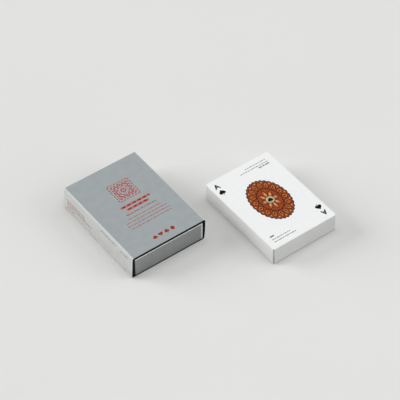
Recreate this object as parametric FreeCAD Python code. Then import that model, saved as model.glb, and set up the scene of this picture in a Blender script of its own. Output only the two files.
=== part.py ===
"""A full deck of playing cards lying face up beside its slide case.

The case is two pieces of folded board: a sleeve that is open at both ends, closed by a glue flap inside its left
wall, and a roll-end tray that slides through it. The tray is folded from one blank: a floor, two side walls whose
corner tabs turn in at the ends, and two end panels that rise outside the tabs, roll over them and lock into the floor.
The deck is a stack of separate cards, squared by hand.

Millimetres, +Z up. +X runs across the case towards the deck, +Y along the case.
"""
import FreeCAD
import Part
import math
import os

# Playing cards
card_width = 63.0
card_length = 88.0
card_thickness = 0.30
card_corner_radius = 1.5
card_air_gap = 0.02
suits = ("spades", "hearts", "clubs", "diamonds")
ranks = ("ace", "two", "three", "four", "five", "six", "seven", "eight", "nine", "ten", "jack", "queen", "king")
jokers = ("red_joker", "black_joker")

# How the deck stands after squaring by hand, and where it lies beside the case
squaring_play = 0.14
squaring_turn = 0.10
deck_lean_across = 0.6
deck_lean_along = 0.4
top_packet_cards = 12
top_packet_overhang = 0.22
bottom_packet_cards = 4
bottom_packet_recess = 0.55
bottom_packet_turn = -0.2
deck_standoff = 25.9
deck_lead = 57.95

# Room for the deck inside the tray
card_slack_width = 2.6
card_slack_length = 3.1
deck_headroom = 0.05

# Tray
tray_board = 0.5
side_wall_drop = 0.5
corner_tab_gap = 10.0
panel_seam = 0.2
panel_foot_gap = 0.15
lock_lug_width = 7.0
lock_lug_spread = 36.0
lock_slot_clearance = 0.15

# Sleeve
sleeve_board = 0.5
sleeve_fold_radius = 1.3
sleeve_lean = 1.0
sleeve_wall_bulge = 0.35
lap_edge_lift = 0.3
glue_flap_height = 15.0
glue_flap_setback = 1.2
glue_flap_taper = 3.0

# Running clearances of the tray in the sleeve
tray_side_clearance = 0.95
tray_top_clearance = 2.4
tray_floor_clearance = 0.15
tray_end_recess = 0.15

# Cutting and joining
overrun = 1.0
shortest_edge = 1e-6

# Sizes that follow from the cards outwards
card_names = [f"{rank}_of_{suit}" for suit in suits for rank in ranks] + list(jokers)
card_pitch = card_thickness + card_air_gap
deck_height = len(card_names) * card_pitch - card_air_gap
tray_fold_radius = tray_board
roll_thickness = 3 * tray_board
tray_width = card_width + card_slack_width + 2 * tray_board
tray_length = card_length + card_slack_length + 2 * roll_thickness
tray_height = tray_board + deck_height + deck_headroom
sleeve_width = tray_width + 2 * tray_side_clearance + 3 * sleeve_board
sleeve_length = tray_length + 2 * tray_end_recess
sleeve_height = tray_height + tray_floor_clearance + tray_top_clearance + 2 * sleeve_board

x_axis = FreeCAD.Vector(1, 0, 0)
y_axis = FreeCAD.Vector(0, 1, 0)
z_axis = FreeCAD.Vector(0, 0, 1)


def panel_edge(start, end, rise):
    """Edge of one panel between two folds: straight, or bowed where it rises in its middle."""
    if rise.Length > shortest_edge:
        return Part.Arc(start, (start + end) / 2 + rise, end).toShape()
    return Part.makeLine(start, end)


def strip_side(path, normal, offset, fold_radius, bows):
    """Edges of one side of a folded strip, offset from its middle line, with the side's first and last points."""
    edges = []
    heading = (path[1] - path[0]).normalize()
    first = path[0] + normal.cross(heading) * offset
    here = first
    for before, corner, after, bow in zip(path, path[1:], path[2:], bows):
        arrive = (corner - before).normalize()
        heading = (after - corner).normalize()
        inward = (heading - arrive).normalize()
        half_turn = arrive.getAngle(heading) / 2
        reach = fold_radius * math.tan(half_turn)
        centre = corner + inward * (fold_radius / math.cos(half_turn))
        to_centre = math.copysign(1, normal.cross(arrive).dot(inward))
        fold_start = corner - arrive * reach + normal.cross(arrive) * offset
        crown = centre - inward * (fold_radius - to_centre * offset)
        fold_end = corner + heading * reach + normal.cross(heading) * offset
        if here.distanceToPoint(fold_start) > shortest_edge:
            edges.append(panel_edge(here, fold_start, normal.cross(arrive) * bow))
        edges.append(Part.Arc(fold_start, crown, fold_end).toShape())
        here = fold_end
    last = path[-1] + normal.cross(heading) * offset
    edges.append(panel_edge(here, last, normal.cross(heading) * bows[-1]))
    return edges, first, last


def folded_strip(path, normal, board, fold_radius, bows=None):
    """Section of a strip of board that is folded along a path of its middle line, as a flat face.

    Each panel can bow to its left, seen along the path with the normal up.
    """
    bows = bows or [0] * (len(path) - 1)
    left, left_first, left_last = strip_side(path, normal, board / 2, fold_radius, bows)
    right, right_first, right_last = strip_side(path, normal, -board / 2, fold_radius, bows)
    far_edge = [Part.makeLine(left_last, right_last)]
    near_edge = [Part.makeLine(right_first, left_first)]
    return Part.Face(Part.Wire(left + far_edge + right[::-1] + near_edge))


def block(x_range, y_range, z_range):
    """A box given by its span along each axis."""
    low = FreeCAD.Vector(x_range[0], y_range[0], z_range[0])
    high = FreeCAD.Vector(x_range[1], y_range[1], z_range[1])
    span = high - low
    return Part.makeBox(span.x, span.y, span.z, low)


def build_sleeve():
    """The outer sleeve: a lapped tube of board, leaning a little to the right as an empty-ended tube does.

    Its right wall, which is one board thick, bulges.
    """
    low = sleeve_board / 2
    high = sleeve_height - sleeve_board / 2
    fold_top = low + sleeve_fold_radius
    wall_angle = math.atan2(sleeve_lean, sleeve_height)
    lap = sleeve_board / math.cos(wall_angle)
    front = -sleeve_length / 2
    along = y_axis * sleeve_length

    def wall(side, z):
        """Middle line of the left or right wall at a height."""
        x = side * (sleeve_width - sleeve_board) / 2 + sleeve_lean * (z / sleeve_height - 1 / 2)
        return FreeCAD.Vector(x, front, z)

    lap_corner = wall(-1, low) + x_axis * lap
    flap_top = wall(-1, glue_flap_height) + x_axis * lap
    bottom_start = lap_corner + x_axis * (2 * sleeve_fold_radius)
    panels = [bottom_start, wall(1, low), wall(1, high), wall(-1, high), wall(-1, lap_edge_lift)]
    bows = [0, sleeve_wall_bulge, 0, 0]
    flap = [flap_top, lap_corner, bottom_start + x_axis * sleeve_fold_radius]
    tube = folded_strip(panels, y_axis, sleeve_board, sleeve_fold_radius, bows).extrude(along)
    glue_flap = folded_strip(flap, y_axis, sleeve_board, sleeve_fold_radius).extrude(along)
    for end in (-1, 1):
        outside = end * (sleeve_length / 2 + overrun)
        root = end * (sleeve_length / 2 - glue_flap_setback)
        tip = root - end * glue_flap_taper
        left = -sleeve_width
        corners = [
            FreeCAD.Vector(left, outside, fold_top),
            FreeCAD.Vector(left, root, fold_top),
            FreeCAD.Vector(left, tip, glue_flap_height + overrun),
            FreeCAD.Vector(left, outside, glue_flap_height + overrun),
        ]
        outline = Part.Face(Part.makePolygon(corners + corners[:1]))
        glue_flap = glue_flap.cut(outline.extrude(x_axis * sleeve_width))
    return tube.fuse(glue_flap).removeSplitter()


def build_tray():
    """The roll-end tray, folded from one blank, standing on the sleeve's bottom panel."""
    low = tray_board / 2
    high = tray_height - tray_board / 2
    foot = tray_board + panel_foot_gap
    wall_top = tray_height - side_wall_drop
    tab_top = tray_height - 2 * tray_board
    wall_x = (tray_width - tray_board) / 2
    panel_half = tray_width / 2 - tray_fold_radius - tray_board / 2
    inner_half = panel_half - panel_seam
    outer_y, tab_y, inner_y = [tray_length / 2 - (layer + 1 / 2) * tray_board for layer in range(3)]

    ends_path = [
        FreeCAD.Vector(-panel_half, -inner_y, foot),
        FreeCAD.Vector(-panel_half, -inner_y, high),
        FreeCAD.Vector(-panel_half, -outer_y, high),
        FreeCAD.Vector(-panel_half, -outer_y, low),
        FreeCAD.Vector(-panel_half, outer_y, low),
        FreeCAD.Vector(-panel_half, outer_y, high),
        FreeCAD.Vector(-panel_half, inner_y, high),
        FreeCAD.Vector(-panel_half, inner_y, foot),
    ]
    rolled_ends = folded_strip(ends_path, x_axis, tray_board, tray_fold_radius).extrude(x_axis * (2 * panel_half))
    pieces = []
    for end in (-1, 1):
        inner_face = end * (inner_y - tray_board / 2)
        roll_middle = end * tab_y
        panel_span = sorted((inner_face, end * (inner_y + tray_board / 2)))
        for side in (-1, 1):
            relief_x = sorted((side * inner_half, side * (panel_half + overrun)))
            relief_y = sorted((inner_face - end * overrun, roll_middle))
            rolled_ends = rolled_ends.cut(block(relief_x, relief_y, (tray_board, tray_height + overrun)))
            lug_middle = side * lock_lug_spread / 2
            lug_x = (lug_middle - lock_lug_width / 2, lug_middle + lock_lug_width / 2)
            slot_x = (lug_x[0] - lock_slot_clearance, lug_x[1] + lock_slot_clearance)
            slot_y = (panel_span[0] - lock_slot_clearance, panel_span[1] + lock_slot_clearance)
            pieces.append((block(slot_x, slot_y, (-overrun, tray_board)), block(lug_x, panel_span, (0, foot))))

    wall_reach = inner_y
    floor_path = [
        FreeCAD.Vector(-wall_x, -wall_reach, wall_top),
        FreeCAD.Vector(-wall_x, -wall_reach, low),
        FreeCAD.Vector(wall_x, -wall_reach, low),
        FreeCAD.Vector(wall_x, -wall_reach, wall_top),
    ]
    walls = folded_strip(floor_path, y_axis, tray_board, tray_fold_radius).extrude(y_axis * (2 * wall_reach))
    tray = rolled_ends.fuse(walls)
    for side in (-1, 1):
        tab_end = side * corner_tab_gap / 2
        tabs_path = [
            FreeCAD.Vector(tab_end, tab_y, foot),
            FreeCAD.Vector(side * wall_x, tab_y, foot),
            FreeCAD.Vector(side * wall_x, -tab_y, foot),
            FreeCAD.Vector(tab_end, -tab_y, foot),
        ]
        tabs = folded_strip(tabs_path, z_axis, tray_board, tray_fold_radius)
        tray = tray.fuse(tabs.extrude(z_axis * (tab_top - foot)))
    for slot, lug in pieces:
        tray = tray.cut(slot).fuse(lug)
    tray = tray.removeSplitter()
    tray.translate(FreeCAD.Vector(sleeve_board / 2, 0, sleeve_board + tray_floor_clearance))
    return tray


def build_card():
    """One card with rounded corners, centred on its lower face."""
    x_range = (-card_width / 2, card_width / 2)
    y_range = (-card_length / 2, card_length / 2)
    plate = block(x_range, y_range, (0, card_thickness))
    corners = [edge for edge in plate.Edges if edge.tangentAt(edge.FirstParameter).isParallel(z_axis, shortest_edge)]
    return plate.makeFillet(card_corner_radius, corners)


def build_deck():
    """Every card by name, from the top of the stack down, each with its own small shift and turn."""
    card = build_card()
    deck_x = sleeve_width / 2 + deck_standoff + card_width / 2
    golden_angle = math.pi * (3 - math.sqrt(5))
    deck = {}
    for place, name in enumerate(card_names):
        level = len(card_names) - 1 - place
        swing = math.sin(place * golden_angle)
        sway = math.cos(place * golden_angle * 2)
        rise = level / len(card_names) - 1 / 2
        shift = FreeCAD.Vector(swing * squaring_play, sway * squaring_play, level * card_pitch)
        shift += y_axis * (deck_lean_along * rise) - x_axis * (deck_lean_across * rise)
        turn = squaring_turn * sway * swing
        if place < top_packet_cards:
            shift -= y_axis * top_packet_overhang
        if level < bottom_packet_cards:
            shift += (x_axis + y_axis) * bottom_packet_recess
            turn += bottom_packet_turn
        piece = card.copy()
        piece.rotate(FreeCAD.Vector(0, 0, 0), z_axis, turn)
        piece.translate(shift + x_axis * deck_x - y_axis * deck_lead)
        deck[name] = piece
    return deck


def main():
    """Builds every piece, sets the origin under the middle of the whole, and writes one file for each."""
    os.makedirs("parts", exist_ok=True)
    nodes = {"case_sleeve": build_sleeve(), "case_tray": build_tray()}
    nodes.update(build_deck())
    whole = Part.makeCompound(list(nodes.values())).optimalBoundingBox(False)
    to_origin = FreeCAD.Vector(-whole.Center.x, -whole.Center.y, -whole.ZMin)
    for name, shape in nodes.items():
        shape.translate(to_origin)
        shape.exportStep(os.path.join("parts", name + ".step"))


main()
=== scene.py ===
"""Looks of a deck of playing cards beside its slide case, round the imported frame. Metres, +Z up."""
import itertools
import math

import bpy
import numpy as np
from mathutils import Matrix, Vector


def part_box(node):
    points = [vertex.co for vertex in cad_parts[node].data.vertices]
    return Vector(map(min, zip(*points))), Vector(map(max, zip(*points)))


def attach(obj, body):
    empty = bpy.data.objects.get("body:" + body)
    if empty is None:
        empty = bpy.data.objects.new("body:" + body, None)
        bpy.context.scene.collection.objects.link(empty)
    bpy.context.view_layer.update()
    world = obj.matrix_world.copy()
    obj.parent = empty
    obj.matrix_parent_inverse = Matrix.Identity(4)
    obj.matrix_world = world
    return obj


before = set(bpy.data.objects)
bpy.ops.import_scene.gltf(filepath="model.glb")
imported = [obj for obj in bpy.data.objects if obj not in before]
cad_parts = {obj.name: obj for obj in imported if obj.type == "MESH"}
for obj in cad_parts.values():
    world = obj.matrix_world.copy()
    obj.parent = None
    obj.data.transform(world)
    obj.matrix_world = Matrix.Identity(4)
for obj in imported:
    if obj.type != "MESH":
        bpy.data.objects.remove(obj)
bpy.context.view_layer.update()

# Cards, named as in the frame, with the index letters of their ranks
suits = ("spades", "hearts", "clubs", "diamonds")
red_suits = ("hearts", "diamonds")
ranks = {
    "ace": "A", "two": "2", "three": "3", "four": "4", "five": "5", "six": "6", "seven": "7",
    "eight": "8", "nine": "9", "ten": "10", "jack": "J", "queen": "Q", "king": "K",
}
jokers = {"red_joker": "red", "black_joker": "black"}
joker_index = "*"
top_card = "ace_of_spades"
card_low, card_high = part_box(top_card)
card_width, card_length, card_thickness = card_high - card_low

# Ink films and the steps between films that lie on each other
ink_film = 6e-6
film_step = 1.5e-6
foil_print_film = 1.5e-5

# Steps in the curves of the outlines
heart_steps = 36
stem_steps = 5
side_leaf_steps = 12
top_leaf_steps = 14
diamond_steps = 24
corner_steps = 5
oval_steps = 64
eye_steps = 32
dot_steps = 12
lobe_steps = 8
petal_steps = 16
letter_steps = 4

# Suit symbols: shares of their height, the angle in radians at which a spade's notch opens, and the
# powers of the stem's flare and of the diamond's hollow sides
heart_share = 0.9
spade_heart_share = 0.86
spade_raise_share = 0.07
spade_notch = 0.42
club_leaf_share = 0.235
club_side_shares = (0.245, -0.06)
club_neck_share = 0.045
stem_foot_shares = (0.17, -0.5)
stem_flare = 3
diamond_half_width_share = 0.43
diamond_hollow = 1.45

# Index in the two corners of a card
index_height = 0.0050
index_suit_height = 0.0060
index_inset = 0.0058
index_drop = 0.0074
index_suit_drop = 0.0146
letter_weight_share = 0.036

# Pips of the number cards: rows of the two side columns, then of the middle, as shares of the reach
pip_height = 0.0125
pip_column = 0.0135
pip_reach = 0.0275
pip_rows_shares = {
    "two": ((), (1, -1)),
    "three": ((), (1, 0, -1)),
    "four": ((1, -1), ()),
    "five": ((1, -1), (0,)),
    "six": ((1, 0, -1), ()),
    "seven": ((1, 0, -1), (1 / 2,)),
    "eight": ((1, 0, -1), (1 / 2, -1 / 2)),
    "nine": ((1, 1 / 3, -1 / 3, -1), (0,)),
    "ten": ((1, 1 / 3, -1 / 3, -1), (2 / 3, -2 / 3)),
}

# Oval rosette of the aces, court cards and jokers
rosette_width = 0.0335
rosette_length = 0.0475
rosette_petals = {"ace": 16, "jack": 12, "queen": 14, "king": 18, "joker": 10}
rim_depth_share = 0.045
rim_inside_shares = (0.95, 0.962)
dot_width = 0.0011
dot_reach_share = 0.87
ground_shares = (("umber", 0.57, 0.57), ("terracotta", 0.53, 0.54))
eye_shares = (("umber", 0.26), ("cream", 0.22))
rosette_suit_share = 0.15

# Leaves of the rosette: ink, inner and outer end as shares of the oval's radius, and width as a share
# of the angle from leaf to leaf
leaf_shares = (("umber", 0.56, 0.92, 0.90), ("ochre", 0.60, 0.88, 0.66), ("olive", 0.64, 0.80, 0.25))
flower_shares = (("umber", 0.12, 0.50, 0.92), ("ochre", 0.14, 0.46, 0.70), ("cream", 0.16, 0.36, 0.34))
petal_fullness = 0.8

# Rows of short bars beside the rosette: distance from the card's top or bottom edge, start and end
# from its middle, and height
caption_rows = (
    (0.0058, 0.0040, 0.0250, 0.00060),
    (0.0086, -0.0025, 0.0250, 0.00060),
    (0.0109, 0.0145, 0.0253, 0.00100),
)
foot_rows = (
    (0.0120, -0.0255, -0.0210, 0.00120),
    (0.0087, -0.0257, -0.0083, 0.00065),
    (0.0059, -0.0257, -0.0043, 0.00065),
)

# Lengths of the bars in a row, in units that are a share of the row's height, and the gap between two
bar_lengths = (5, 3, 7, 4, 2, 6, 3, 8, 4)
bar_unit_share = 0.62
bar_gap = 0.0005
bar_gap_share = 0.2

# Back of a card
back_margin = 0.0035
back_corner = 0.0022
back_line = 0.0006
back_field_inset = 0.0015
back_cells = (10, 14)
back_lozenge_share = 0.46

# Print on the case's top, from the middle of the panel: rows give their place, length and height
print_shift = 0.0024
block_side = 0.0206
block_cells = 21
block_fill_share = 0.86
block_centre = 0.0174
band_rows = ((0.0015, 0.0286, 0.0027), (-0.0024, 0.0226, 0.0027))
band_pitch = 0.00165
band_bar_share = 0.22
band_bar_every = 3
note_rows = (
    (-0.0071, 0.0286, 0.0012),
    (-0.0116, 0.0310, 0.0008),
    (-0.0150, 0.0385, 0.0008),
    (-0.0183, 0.0410, 0.0008),
    (-0.0216, 0.0375, 0.0008),
)
case_pip_height = 0.0043
case_pip_pitch = 0.0056
case_pip_row = -0.0388
case_pip_shift = -0.0010

# Print on the case's left side: distance from the far end, length, height above the floor and bar height
side_line = (0.0040, 0.0250, 0.0124, 0.00060)
side_red_rows = (
    (0.0042, 0.0240, 0.0102, 0.0009),
    (0.0042, 0.0345, 0.0080, 0.0009),
    (0.0042, 0.0110, 0.0045, 0.0009),
)
side_grey_rows = ((0.0515, 0.0205, 0.0168, 0.0009), (0.0778, 0.0105, 0.0163, 0.0009))
wall_probe_start = 0.01
wall_probe_shares = (0.25, 0.75)

# Inks
ink_colours = {
    "black": (0.004, 0.004, 0.005),
    "red": (0.42, 0.035, 0.020),
    "vermilion": (0.31, 0.036, 0.008),
    "grey": (0.22, 0.22, 0.225),
    "slate": (0.085, 0.085, 0.09),
    "pale_red": (0.36, 0.145, 0.135),
    "terracotta": (0.29, 0.056, 0.016),
    "ochre": (0.50, 0.125, 0.028),
    "umber": (0.022, 0.011, 0.005),
    "olive": (0.050, 0.034, 0.011),
    "cream": (0.56, 0.41, 0.23),
    "silver": (0.40, 0.42, 0.43),
}
ink_roughness = 0.42
silver_ink_roughness = 0.36
ink_roughness_steps = (-0.06, 0.08)
ink_specular = 0.15

# Card stock: cut edges are grey, with painted shade at a card's round corners and a painted contact shadow
# along the front of the lowest cards
card_white = (0.875, 0.880, 0.880)
card_cut = (0.74, 0.745, 0.725)
card_roughness = 0.44
card_roughness_span = (0.38, 0.52)
card_face_span = (0.4, 0.6)
# painted shade: where and how dark the cut edges go at a card's corners
card_corner_shade_span = (0.30, 0.48)
card_corner_shade_share = 0.26
# painted contact shadow: how high and how dark it lies along the front of the lowest cards
card_foot_shadow_span = (3 * card_thickness, 2 * card_thickness)
card_foot_shadow_share = 0.62

# Board of the case: black, with a silver facing worn along the sleeve's folds; the tray's black sides,
# rolled top and -X strip are painted shade of the gap, its pale top and +X rims a painted highlight
# black of the bare board; on the tray it is painted shade of the gap
board_black_and_gap_shade = (0.018, 0.018, 0.019)
board_roughness = 0.42
board_satin_span = (0.30, 0.40)
board_matt_step = 0.4
board_metal = 0.95
board_glint_span = (0.32, 0.68)
board_glint_most = 0.10
board_glint_share = 1.30
# patches in the sleeve's fold wear and in the tray's painted highlight
board_patch_span = (0.38, 0.58)
board_patch_least = 0.75
sleeve_silver = (0.81, 0.815, 0.80)
sleeve_worn = (0.60, 0.61, 0.60)
sleeve_fold_span = (0.12, 0.42)
sleeve_skin_share = 0.8
tray_silver = (0.35, 0.36, 0.36)
# painted highlight: pale tone of the rims on the tray's ends
tray_highlight_tone = (0.88, 0.89, 0.89)
# painted shade: width of the black strip along the -X side of the tray's ends
tray_shaded_strip = 0.00095
# painted highlight: widths of the pale rims along the top and the +X side of the tray's ends
tray_highlight_top = 0.0010
tray_highlight_side = 0.0024

# Parts of a normal from which a face counts as facing that way
end_facing = 0.5
upright_facing = 0.7
sleeve_out_facing = 0.3
tray_end_facing = 0.55

# Noise of the finishes: scale per metre, detail and, for some, its stretch along X, Y and Z
noise_span = (0.3, 0.7)
ink_cloud_noise = (900, 3)
ink_grain_noise = (5200, 2)
card_cloud_noise = (220, 3)
card_fibre_noise = (2600, 2, (1, 1, 6))
card_tooth_noise = (4200, 3)
board_cloud_noise = (140, 4)
board_grain_noise = (3800, 3, (1, 0.35, 1))
board_fibre_noise = (2400, 2)
board_patch_noise = (420, 3)
floor_cloud_noise = (3, 2)

# Shares of a colour between which noise carries it
ink_cloud_shares = (0.86, 1.14)
card_cloud_shares = (0.985, 1.01)
card_fibre_shares = (0.93, 1.06)
board_cloud_shares = (0.955, 1.035)
board_fibre_shares = (0.75, 1.3)
floor_cloud_shares = (0.99, 1.01)

# Fine relief: depth and strength
ink_relief = (4e-6, 0.35)
card_relief = (5e-6, 0.4)
board_relief = (6e-6, 0.35)

# Floor
floor_reach = 6.0
floor_colour = (0.752, 0.752, 0.740)
floor_roughness = 0.9
floor_specular = 0.1

# Lamps, far off and soft: degrees round from +X, degrees up, width in degrees and strength. The silver
# mirrors the even room and, of the lamps, only those named as mirrored.
lamps = {
    "key": (135, 20, 40, 2.33),
    "front": (315, 20, 40, 0.86),
    "right": (350, 40, 40, 0.41),
    "overhead": (0, 90, 60, 1.20),
}
mirrored_lamps = ("right",)
room_light = (0.20, 0.20, 0.20)
mirrored_room = (0.385, 0.425, 0.445)
pale_background = (0.75, 0.75, 0.74)

# Camera, fitted to the corners of the case and the deck
photo_pixels = 400
focal_pixels = 1800
camera_azimuth = math.radians(36.805)
camera_elevation = math.radians(46.442)
camera_distance = 1.4559
camera_target = Vector((0.01207, 0.01590, 0))


# Outlines, turning to the left; the suits' are one unit high

def ring(start, end, steps, point):
    """Points of a curve from start to end, both included."""
    return [point(start + (end - start) * i / steps) for i in range(steps + 1)]


def arc(centre, radius, start, end, steps):
    """Points of an arc between two angles in radians."""
    def point(angle):
        return centre[0] + radius * math.cos(angle), centre[1] + radius * math.sin(angle)
    return ring(start, end, steps, point)


def heart_point(angle):
    """The common heart curve, point down, brought to one unit high about its middle."""
    height, drop = 29, 2.5
    x = 16 * math.sin(angle) ** 3
    y = 13 * math.cos(angle) - 5 * math.cos(2 * angle) - 2 * math.cos(3 * angle) - math.cos(4 * angle)
    return -x / height, (y + drop) / height


def heart():
    points = ring(0, 2 * math.pi, heart_steps, heart_point)[:-1]
    return [(x * heart_share, y * heart_share) for x, y in points]


def stem(neck):
    """The flared foot of a spade or club, from its left neck round to its right neck."""
    foot = stem_foot_shares

    def point(u):
        return neck[0] + (foot[0] - neck[0]) * u ** stem_flare, neck[1] + (foot[1] - neck[1]) * u
    right = ring(1, 0, stem_steps, point)
    return [(-x, y) for x, y in right[::-1]] + right


def spade():
    """An upturned heart on a flared foot."""
    curve = ring(spade_notch, 2 * math.pi - spade_notch, heart_steps, heart_point)
    body = [(-x * spade_heart_share, -y * spade_heart_share + spade_raise_share) for x, y in curve]
    return body + stem((abs(body[0][0]), body[0][1]))[1:-1]


def club():
    """Three round leaves on a flared foot."""
    radius = club_leaf_share
    top = (0, 0.5 - radius)
    side = club_side_shares
    lean = math.atan2(top[1] - side[1], top[0] - side[0])
    open_angle = math.acos(math.dist(top, side) / 2 / radius)
    neck_angle = math.acos((club_neck_share - side[0]) / radius)
    right = arc(side, radius, -neck_angle, lean - open_angle, side_leaf_steps)
    crown_start, crown_end = lean + open_angle - math.pi, 2 * math.pi - lean - open_angle
    crown = arc(top, radius, crown_start, crown_end, top_leaf_steps)
    left = [(-x, y) for x, y in right[::-1]]
    return right + crown[1:-1] + left + stem((abs(left[-1][0]), left[-1][1]))[1:-1]


def diamond():
    """A lozenge with slightly hollow sides."""
    def hollowed(part):
        return math.copysign(abs(part) ** diamond_hollow, part)

    def point(angle):
        return hollowed(math.cos(angle)) * diamond_half_width_share, hollowed(math.sin(angle)) / 2
    return ring(0, 2 * math.pi, diamond_steps, point)[:-1]


def oval(width, length, steps):
    def point(angle):
        return math.cos(angle) * width / 2, math.sin(angle) * length / 2
    return ring(0, 2 * math.pi, steps, point)[:-1]


def scalloped(width, length, lobes):
    """An oval whose edge is drawn into shallow lobes."""
    def point(angle):
        reach = 1 - rim_depth_share * (1 - abs(math.cos(lobes * angle / 2)))
        return math.cos(angle) * reach * width / 2, math.sin(angle) * reach * length / 2
    return ring(0, 2 * math.pi, lobes * lobe_steps, point)[:-1]


def petal(inner, outer, angle, spread):
    """A leaf of the oval rosette, between two shares of the oval's radius."""
    def point(u):
        along = 1 - abs(1 - 2 * u)
        reach = inner + (outer - inner) * along
        turn = angle + math.copysign(spread, 0.5 - u) * math.sin(math.pi * along ** petal_fullness)
        return math.cos(turn) * reach * rosette_width / 2, math.sin(turn) * reach * rosette_length / 2
    return ring(0, 1, petal_steps, point)[:-1][::-1]


def bar(width, height):
    x, y = width / 2, height / 2
    return [(-x, -y), (x, -y), (x, y), (-x, y)]


def rounded(width, length, radius):
    """A rectangle with round corners."""
    points = []
    for quarter, (sx, sy) in enumerate(((1, 1), (-1, 1), (-1, -1), (1, -1))):
        centre = (sx * (width / 2 - radius), sy * (length / 2 - radius))
        points += arc(centre, radius, quarter * math.pi / 2, (quarter + 1) * math.pi / 2, corner_steps)
    return points


suit_outlines = {"spades": spade(), "hearts": heart(), "clubs": club(), "diamonds": diamond()}


class Print:
    """Ink shapes of one printed piece, gathered as thin raised films with one ink each."""

    def __init__(self, film):
        self.film = film
        self.side = Matrix.Identity(4)
        self.points = []
        self.faces = []
        self.inks = []

    def faces_of(self, flat_points, flat_faces, ink, layer):
        """Adds flat faces at the height of a layer."""
        first = len(self.points)
        height = self.film + layer * film_step
        self.points += [self.side @ Vector((x, y, height)) for x, y in flat_points]
        self.faces += [[first + i for i in face] for face in flat_faces]
        self.inks += [ink] * len(flat_faces)

    def shape(self, outline, ink, at=(0, 0), size=1.0, turned=False, layer=0):
        """Adds one outline, scaled, turned half round if asked, and moved to its place."""
        scale = -size if turned else size
        points = [(at[0] + x * scale, at[1] + y * scale) for x, y in outline]
        self.faces_of(points, [range(len(points))], ink, layer)

    def border(self, outer, inner, ink):
        """Adds the band between two outlines with as many points each."""
        n = len(outer)
        quads = [(i, (i + 1) % n, n + (i + 1) % n, n + i) for i in range(n)]
        self.faces_of(outer + inner, quads, ink, 0)

    def letters(self, text, ink, at, height, turned):
        """Adds index letters or numbers, centred on a point."""
        curve = bpy.data.curves.new("letters", "FONT")
        curve.body = text
        curve.offset = letter_weight_share
        curve.resolution_u = letter_steps
        holder = bpy.data.objects.new("letters", curve)
        flat = bpy.data.meshes.new_from_object(holder)
        spots = np.array([v.co[:2] for v in flat.vertices])
        low, high = spots.min(0), spots.max(0)
        scale = height / (high[1] - low[1]) * (-1 if turned else 1)
        spots = (spots - (low + high) / 2) * scale + np.array(at)
        self.faces_of(spots.tolist(), [list(f.vertices) for f in flat.polygons], ink, 0)
        bpy.data.objects.remove(holder)
        bpy.data.curves.remove(curve)
        bpy.data.meshes.remove(flat)

    def bars(self, start, end, row, height, ink):
        """Adds a row of short bars of uneven lengths between two ends."""
        unit = height * bar_unit_share
        gap = bar_gap + height * bar_gap_share
        units = itertools.cycle(bar_lengths)
        here = start
        while here < end - unit:
            length = min(next(units) * unit, end - here)
            self.shape(bar(length, height), ink, (here + length / 2, row))
            here += length + gap

    def piece(self, name, place, body):
        """Makes the printed piece as an object that rides on a body."""
        mesh = bpy.data.meshes.new(name)
        mesh.from_pydata(self.points, [], self.faces)
        used = sorted(set(self.inks))
        for ink in used:
            mesh.materials.append(inks[ink])
        mesh.polygons.foreach_set("material_index", [used.index(ink) for ink in self.inks])
        made = bpy.data.objects.new(name, mesh)
        bpy.context.scene.collection.objects.link(made)
        film = made.modifiers.new("film", "SOLIDIFY")
        film.thickness = self.film
        film.offset = -1
        made.matrix_world = place
        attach(made, body)


def shade(colour, share):
    """A colour made lighter or darker by a share."""
    return tuple(min(1.0, part * share) for part in colour)


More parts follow.
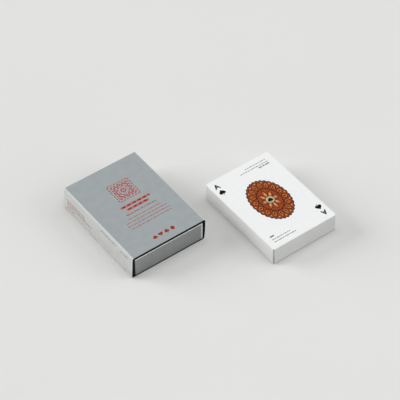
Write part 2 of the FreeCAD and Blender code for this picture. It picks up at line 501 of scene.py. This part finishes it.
class Finish:
    """A node material in the making: one principled surface, and short calls for the nodes that feed it."""

    def __init__(self, name, colour, roughness, specular=0.5):
        self.material = bpy.data.materials.new(name)
        self.material.use_nodes = True
        self.tree = self.material.node_tree
        self.surface = self.tree.nodes["Principled BSDF"]
        self.set(self.surface, "Base Color", (*colour, 1))
        self.set(self.surface, "Roughness", roughness)
        self.set(self.surface, "Specular IOR Level", specular)
        coordinates = self.tree.nodes.new("ShaderNodeTexCoord")
        self.place = coordinates.outputs["Object"]
        self.normal = coordinates.outputs["Normal"]

    def set(self, node, socket, value):
        """Feeds a node's input from another node's output, or gives it a value."""
        if isinstance(value, bpy.types.NodeSocket):
            self.tree.links.new(value, node.inputs[socket])
        else:
            node.inputs[socket].default_value = value

    def maths(self, operation, first, second=0.0):
        node = self.tree.nodes.new("ShaderNodeMath")
        node.operation = operation
        self.set(node, 0, first)
        self.set(node, 1, second)
        return node.outputs[0]

    def split(self, vector):
        """The three parts of a vector."""
        node = self.tree.nodes.new("ShaderNodeSeparateXYZ")
        self.set(node, 0, vector)
        return node.outputs["X"], node.outputs["Y"], node.outputs["Z"]

    def ramp(self, value, low, high, to_low=0.0, to_high=1.0):
        """A value carried from one span to another, held at the ends."""
        node = self.tree.nodes.new("ShaderNodeMapRange")
        for socket, number in enumerate((value, low, high, to_low, to_high)):
            self.set(node, socket, number)
        return node.outputs["Result"]

    def noise(self, scale, detail, stretch=(1, 1, 1)):
        """Noise in the piece's own space, mostly inside noise_span."""
        mapping = self.tree.nodes.new("ShaderNodeMapping")
        self.set(mapping, "Vector", self.place)
        self.set(mapping, "Scale", stretch)
        node = self.tree.nodes.new("ShaderNodeTexNoise")
        self.set(node, "Vector", mapping.outputs[0])
        self.set(node, "Scale", scale)
        self.set(node, "Detail", detail)
        return node.outputs["Fac"]

    def mix(self, share, first, second):
        """A colour between two colours."""
        node = self.tree.nodes.new("ShaderNodeMix")
        node.data_type = "RGBA"
        factor, low, high = node.inputs[0], node.inputs[6], node.inputs[7]
        for socket, value in ((factor, share), (low, first), (high, second)):
            if isinstance(value, bpy.types.NodeSocket):
                self.tree.links.new(value, socket)
            else:
                socket.default_value = value if socket is factor else (*value, 1)
        return node.outputs[2]

    def varied(self, noise, colour, shares):
        """A colour that noise carries between two shares of itself."""
        low, high = (shade(colour, share) for share in shares)
        return self.mix(self.ramp(self.noise(*noise), *noise_span), low, high)

    def bump(self, height, distance, strength):
        """Raises the surface by a height pattern."""
        node = self.tree.nodes.new("ShaderNodeBump")
        self.set(node, "Height", height)
        self.set(node, "Distance", distance)
        self.set(node, "Strength", strength)
        self.set(self.surface, "Normal", node.outputs[0])


def make_ink(name, colour, roughness):
    """Printing ink: a little uneven where it soaks into the stock."""
    finish = Finish(name, colour, roughness, ink_specular)
    finish.set(finish.surface, "Base Color", finish.varied(ink_cloud_noise, colour, ink_cloud_shares))
    grain = finish.noise(*ink_grain_noise)
    low, high = (roughness + step for step in ink_roughness_steps)
    finish.set(finish.surface, "Roughness", finish.ramp(grain, *noise_span, low, high))
    finish.bump(grain, *ink_relief)
    return finish.material


def card_stock():
    """Smooth white coated stock: faint cloud in the white, a fine tooth, and grey cut edges, darkened by
    painted shade at the round corners and by a painted contact shadow along the front of the lowest cards.
    """
    finish = Finish("card_stock", card_white, card_roughness)
    face = finish.varied(card_cloud_noise, card_white, card_cloud_shares)
    nx, ny, nz = finish.split(finish.normal)
    height = finish.split(finish.place)[2]
    # painted shade: the cut edges darken where their normal turns round a card's corner
    slant = finish.maths("ABSOLUTE", finish.maths("MULTIPLY", nx, ny))
    corner_shade = finish.ramp(slant, *card_corner_shade_span)
    # painted contact shadow: the front cut edges of the lowest cards go darker near the floor
    front = finish.maths("LESS_THAN", ny, -end_facing)
    foot = finish.maths("MULTIPLY", finish.ramp(height, *card_foot_shadow_span), front)
    edge = finish.varied(card_fibre_noise, card_cut, card_fibre_shares)
    edge = finish.mix(corner_shade, edge, shade(card_cut, card_corner_shade_share))
    edge = finish.mix(foot, edge, shade(card_cut, card_foot_shadow_share))
    flat = finish.ramp(finish.maths("ABSOLUTE", nz), *card_face_span)
    finish.set(finish.surface, "Base Color", finish.mix(flat, edge, face))
    tooth = finish.noise(*card_tooth_noise)
    finish.set(finish.surface, "Roughness", finish.ramp(tooth, *noise_span, *card_roughness_span))
    finish.bump(tooth, *card_relief)
    return finish.material


def board(finish, silver, fold, colour, fold_tone):
    """Black board with a satin silver facing and a matt tone along its folds: dull grey wear on the sleeve,
    a pale painted highlight on the tray.

    The masks silver and fold are one on the facing and along its folds. Where silver is nought the black is
    bare board, on the tray painted shade of the gap.
    """
    grain = finish.noise(*board_grain_noise)
    glint = finish.ramp(grain, *board_glint_span, 0, board_glint_most)
    patches = finish.ramp(finish.noise(*board_patch_noise), *board_patch_span, board_patch_least, 1)
    # on the sleeve wear along the folds, on the tray a painted highlight along its rims
    wear_and_highlight = finish.maths("MULTIPLY", fold, patches)
    outside = finish.varied(board_cloud_noise, colour, board_cloud_shares)
    outside = finish.mix(glint, outside, shade(colour, board_glint_share))
    outside = finish.mix(wear_and_highlight, outside, fold_tone)
    # black of the bare board, on the tray painted shade of the gap
    black_and_gap_shade = finish.varied(board_fibre_noise, board_black_and_gap_shade, board_fibre_shares)
    finish.set(finish.surface, "Base Color", finish.mix(silver, black_and_gap_shade, outside))
    bright = finish.maths("MULTIPLY", silver, finish.maths("SUBTRACT", 1.0, wear_and_highlight))
    satin = finish.ramp(grain, *noise_span, *board_satin_span)
    matt = finish.ramp(bright, 0, 1, board_matt_step, 0)
    finish.set(finish.surface, "Roughness", finish.maths("ADD", satin, matt))
    finish.set(finish.surface, "Metallic", finish.maths("MULTIPLY", bright, board_metal))
    finish.bump(grain, *board_relief)
    return finish.material


def outward(finish, part, place, middle):
    """How far one part of the normal points away from a middle plane."""
    side = finish.maths("SIGN", finish.maths("SUBTRACT", place, middle))
    return finish.maths("MULTIPLY", part, side)


def sleeve_board():
    """The sleeve's board: silver all round outside, bare inside and at its cut ends."""
    low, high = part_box("case_sleeve")
    middle = (low + high) / 2
    finish = Finish("sleeve_board", sleeve_silver, board_roughness)
    x, _, z = finish.split(finish.place)
    nx, ny, nz = finish.split(finish.normal)
    away = finish.maths("ADD", outward(finish, nx, x, middle.x), outward(finish, nz, z, middle.z))
    faces_out = finish.maths("GREATER_THAN", away, sleeve_out_facing)
    from_middle = finish.maths("ABSOLUTE", finish.maths("SUBTRACT", z, middle.z))
    at_skin = finish.maths("GREATER_THAN", from_middle, middle.z * sleeve_skin_share)
    upright = finish.maths("LESS_THAN", finish.maths("ABSOLUTE", nz), upright_facing)
    uncut = finish.maths("LESS_THAN", finish.maths("ABSOLUTE", ny), end_facing)
    skin = finish.maths("MULTIPLY", faces_out, finish.maths("MAXIMUM", at_skin, upright))
    slant = finish.maths("ABSOLUTE", finish.maths("MULTIPLY", nx, nz))
    fold = finish.ramp(slant, *sleeve_fold_span)
    return board(finish, finish.maths("MULTIPLY", skin, uncut), fold, sleeve_silver, sleeve_worn)


def tray_board():
    """The tray's board: black but for the silver facing of its end panels, that black being painted shade
    of the gap on its sides, its rolled top and a strip along the -X side of each end; the pale rims at the
    top and the +X side of each end are a painted highlight.
    """
    low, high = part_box("case_tray")
    middle = (low + high) / 2
    finish = Finish("tray_board", tray_silver, board_roughness)
    x, y, z = finish.split(finish.place)
    ny = finish.split(finish.normal)[1]
    # painted shade: silver only on the outward faces of the ends and off a strip at -X, all else black
    end = finish.maths("GREATER_THAN", outward(finish, ny, y, middle.y), tray_end_facing)
    clear_of_shaded_strip = finish.maths("GREATER_THAN", x, low.x + tray_shaded_strip)
    # painted highlight: pale matt rims along the top and the +X side of each end
    painted_highlight_top = finish.ramp(z, high.z - tray_highlight_top, high.z - tray_highlight_top / 2)
    painted_highlight_side = finish.ramp(x, high.x - tray_highlight_side, high.x - tray_highlight_side / 2)
    wear_and_highlight = finish.maths("MAXIMUM", painted_highlight_top, painted_highlight_side)
    return board(finish, finish.maths("MULTIPLY", end, clear_of_shaded_strip), wear_and_highlight, tray_silver, tray_highlight_tone)


inks = {}
for ink_name, ink_colour in ink_colours.items():
    own_roughness = silver_ink_roughness if ink_name == "silver" else ink_roughness
    inks[ink_name] = make_ink("ink_" + ink_name, ink_colour, own_roughness)


def add_index(face, label, suit, colour):
    """Rank and suit in the top left corner, and again upside down in the opposite one."""
    for turned in (False, True):
        way = -1 if turned else 1
        column = way * (index_inset - card_width / 2)
        spot = (column, way * (card_length / 2 - index_drop))
        face.letters(label, colour, spot, index_height, turned)
        if suit:
            spot = (column, way * (card_length / 2 - index_suit_drop))
            face.shape(suit_outlines[suit], colour, spot, index_suit_height, turned)


def add_pips(face, rank, suit, colour):
    """Suit symbols of a number card, the lower ones upside down."""
    side_rows, middle_rows = pip_rows_shares[rank]
    spots = [(column, row) for row in side_rows for column in (-pip_column, pip_column)]
    spots += [(0, row) for row in middle_rows]
    for x, row in spots:
        face.shape(suit_outlines[suit], colour, (x, row * pip_reach), pip_height, row < 0)


def add_leaf(face, shares, angle, count, layer):
    """One leaf out of a round of leaves, as smaller leaves of other inks on each other."""
    for step, (ink, inner, outer, spread) in enumerate(shares):
        face.shape(petal(inner, outer, angle, spread * math.pi / count), ink, layer=layer + step)


def add_rosette(face, petals, suit, colour):
    """An oval rosette: a scalloped rim, a ring of leaves, and a flower round the middle."""
    width, length = rosette_width, rosette_length
    across, along = rim_inside_shares
    face.shape(scalloped(width, length, 2 * petals), "umber")
    face.shape(scalloped(width * across, length * along, 2 * petals), "terracotta", layer=1)
    for i in range(petals):
        angle = (i + 0.5) * 2 * math.pi / petals
        add_leaf(face, leaf_shares, angle, petals, 2)
        between = angle + math.pi / petals
        reach = dot_reach_share / 2
        spot = (math.cos(between) * reach * width, math.sin(between) * reach * length)
        face.shape(oval(dot_width, dot_width, dot_steps), "cream", spot, layer=2)
    for step, (ink, across, along) in enumerate(ground_shares):
        face.shape(oval(width * across, length * along, oval_steps), ink, layer=3 + step)
    flower = petals // 2
    for i in range(flower):
        add_leaf(face, flower_shares, i * 2 * math.pi / flower + math.pi / 2, flower, 5)
    for step, (ink, share) in enumerate(eye_shares):
        face.shape(oval(width * share, width * share, eye_steps), ink, layer=8 + step)
    if suit:
        face.shape(suit_outlines[suit], colour, (0, 0), width * rosette_suit_share, layer=10)


def add_captions(face):
    """Short grey bars in two corners of a card with a rosette."""
    for drop, start, end, height in caption_rows:
        face.bars(start, end, card_length / 2 - drop, height, "slate")
    for rise, start, end, height in foot_rows:
        face.bars(start, end, rise - card_length / 2, height, "slate")


def add_back(face):
    """A silver line inside a white margin, round a lattice of silver lozenges."""
    width, length = card_width - 2 * back_margin, card_length - 2 * back_margin
    outer = rounded(width, length, back_corner)
    inner = rounded(width - 2 * back_line, length - 2 * back_line, back_corner - back_line)
    face.border(outer, inner, "silver")
    columns, rows = back_cells
    field = (width - 2 * back_field_inset, length - 2 * back_field_inset)
    cell = (field[0] / columns, field[1] / rows)
    x, y = cell[0] * back_lozenge_share, cell[1] * back_lozenge_share
    lozenge = [(x, 0), (0, y), (-x, 0), (0, -y)]
    for i in range(columns):
        for j in range(rows):
            spot = ((i + 0.5) * cell[0] - field[0] / 2, (j + 0.5) * cell[1] - field[1] / 2)
            face.shape(lozenge, "silver", spot)


def card_place(node):
    """Where a card's upper face lies: its middle, turned as the card is turned."""
    low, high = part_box(node)
    middle = (low + high) / 2
    spots = np.array([v.co[:2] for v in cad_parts[node].data.vertices])
    spread = np.cov(spots.T)
    turn = math.atan2(-2 * spread[0, 1], spread[1, 1] - spread[0, 0]) / 2
    return Matrix.Translation((middle.x, middle.y, high.z)) @ Matrix.Rotation(turn, 4, "Z")


def print_card(node, rank, suit, colour):
    """Both printed sides of one card."""
    face = Print(ink_film)
    add_index(face, ranks.get(rank, joker_index), suit, colour)
    if rank in pip_rows_shares:
        add_pips(face, rank, suit, colour)
    else:
        add_rosette(face, rosette_petals[rank], suit, colour)
        add_captions(face)
    face.side = Matrix.Translation((0, 0, -card_thickness)) @ Matrix.Rotation(math.pi, 4, "Y")
    add_back(face)
    face.piece(node + "_print", card_place(node), node)


def print_case_top():
    """Print on the sleeve's top: a block lattice, two bands, rows of bars and the four suits."""
    low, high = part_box("case_sleeve")
    middle = (low + high) / 2
    face = Print(foil_print_film)
    cell = block_side / block_cells
    square = bar(cell * block_fill_share, cell * block_fill_share)
    centre = block_cells // 2
    for i in range(block_cells):
        for j in range(block_cells):
            across, along = abs(i - centre), abs(j - centre)
            on_ring = max(across, along) % 2 == 0
            on_check = across * along % 3 == 1
            if on_ring != on_check:
                spot = ((i - centre) * cell, block_centre + (j - centre) * cell)
                face.shape(square, "red", spot)
    for row, length, height in band_rows:
        count = int(length / band_pitch)
        for i in range(count):
            spot = ((i - (count - 1) / 2) * band_pitch, row)
            motif = suit_outlines["diamonds"] if i % band_bar_every else bar(band_bar_share, 1)
            face.shape(motif, "red", spot, height)
    for row, length, height in note_rows:
        face.bars(-length / 2, length / 2, row, height, "pale_red")
    for i, suit in enumerate(suits):
        spot = ((i - (len(suits) - 1) / 2) * case_pip_pitch + case_pip_shift, case_pip_row)
        face.shape(suit_outlines[suit], "vermilion", spot, case_pip_height)
    place = Matrix.Translation((middle.x + print_shift, middle.y, high.z))
    face.piece("case_top_print", place, "case_sleeve")


def print_case_side():
    """A grey line, red bars and grey bars on the sleeve's left wall."""
    low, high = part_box("case_sleeve")
    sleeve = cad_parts["case_sleeve"]
    bpy.context.view_layer.update()

    def on_wall(height):
        start = Vector((low.x - wall_probe_start, (low.y + high.y) / 2, height))
        return sleeve.ray_cast(start, Vector((1, 0, 0)))[1]
    foot, head = (on_wall(high.z * share) for share in wall_probe_shares)
    up = (head - foot).normalized()
    along = Vector((0, -1, 0))
    out = along.cross(up)
    start = foot - up * (foot.z / up.z)
    start.y = high.y
    place = Matrix((along, up, out)).transposed().to_4x4()
    place.translation = start
    face = Print(foil_print_film)
    far, length, row, height = side_line
    face.shape(bar(length, height), "grey", (far + length / 2, row))
    for colour, rows in (("pale_red", side_red_rows), ("grey", side_grey_rows)):
        for far, length, row, height in rows:
            face.bars(far, far + length, row, height, colour)
    face.piece("case_side_print", place, "case_sleeve")


def dress(node, material):
    """Gives a CAD node its finish."""
    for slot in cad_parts[node].material_slots:
        slot.material = material


def make_floor():
    """A wide pale floor."""
    mesh = bpy.data.meshes.new("floor")
    corners = [(x, y, 0) for x, y in bar(2 * floor_reach, 2 * floor_reach)]
    mesh.from_pydata(corners, [], [list(range(len(corners)))])
    floor = bpy.data.objects.new("floor", mesh)
    bpy.context.scene.collection.objects.link(floor)
    finish = Finish("floor", floor_colour, floor_roughness, floor_specular)
    pale = finish.varied(floor_cloud_noise, floor_colour, floor_cloud_shares)
    finish.set(finish.surface, "Base Color", pale)
    mesh.materials.append(finish.material)


def make_light():
    """Soft studio light: broad lamps round an even room, with a pale background."""
    world = bpy.data.worlds.new("room")
    bpy.context.scene.world = world
    world.use_nodes = True
    nodes, links = world.node_tree.nodes, world.node_tree.links
    seen = nodes.new("ShaderNodeLightPath")
    light = nodes["Background"]
    light.inputs["Color"].default_value = (*room_light, 1)
    for ray, colour in (("Is Glossy Ray", mirrored_room), ("Is Camera Ray", pale_background)):
        backdrop = nodes.new("ShaderNodeBackground")
        backdrop.inputs["Color"].default_value = (*colour, 1)
        choice = nodes.new("ShaderNodeMixShader")
        links.new(seen.outputs[ray], choice.inputs[0])
        links.new(light.outputs[0], choice.inputs[1])
        links.new(backdrop.outputs[0], choice.inputs[2])
        light = choice
    links.new(light.outputs[0], nodes["World Output"].inputs["Surface"])
    for name, (round_degrees, up_degrees, width_degrees, strength) in lamps.items():
        lamp = bpy.data.lights.new(name, "SUN")
        lamp.energy = strength
        lamp.angle = math.radians(width_degrees)
        holder = bpy.data.objects.new(name, lamp)
        bpy.context.scene.collection.objects.link(holder)
        holder.rotation_euler = (0, math.radians(90 - up_degrees), math.radians(round_degrees))
        holder.visible_glossy = name in mirrored_lamps


def make_camera():
    """A long lens at the photographed angle."""
    data = bpy.data.cameras.new("camera")
    data.lens = data.sensor_width * focal_pixels / photo_pixels
    camera = bpy.data.objects.new("camera", data)
    bpy.context.scene.collection.objects.link(camera)
    level = math.cos(camera_elevation)
    across, along = math.sin(camera_azimuth) * level, math.cos(camera_azimuth) * level
    look = Vector((across, along, -math.sin(camera_elevation)))
    camera.location = camera_target - look * camera_distance
    camera.rotation_mode = "QUATERNION"
    camera.rotation_quaternion = look.to_track_quat("-Z", "Y")
    bpy.context.scene.camera = camera


stock = card_stock()
for suit_name in suits:
    suit_colour = "red" if suit_name in red_suits else "black"
    for rank_name in ranks:
        card = f"{rank_name}_of_{suit_name}"
        dress(card, stock)
        print_card(card, rank_name, suit_name, suit_colour)
for card, joker_colour in jokers.items():
    dress(card, stock)
    print_card(card, "joker", None, joker_colour)
dress("case_sleeve", sleeve_board())
dress("case_tray", tray_board())
print_case_top()
print_case_side()
make_floor()
make_light()
make_camera()
bpy.context.scene.view_settings.view_transform = "Standard"
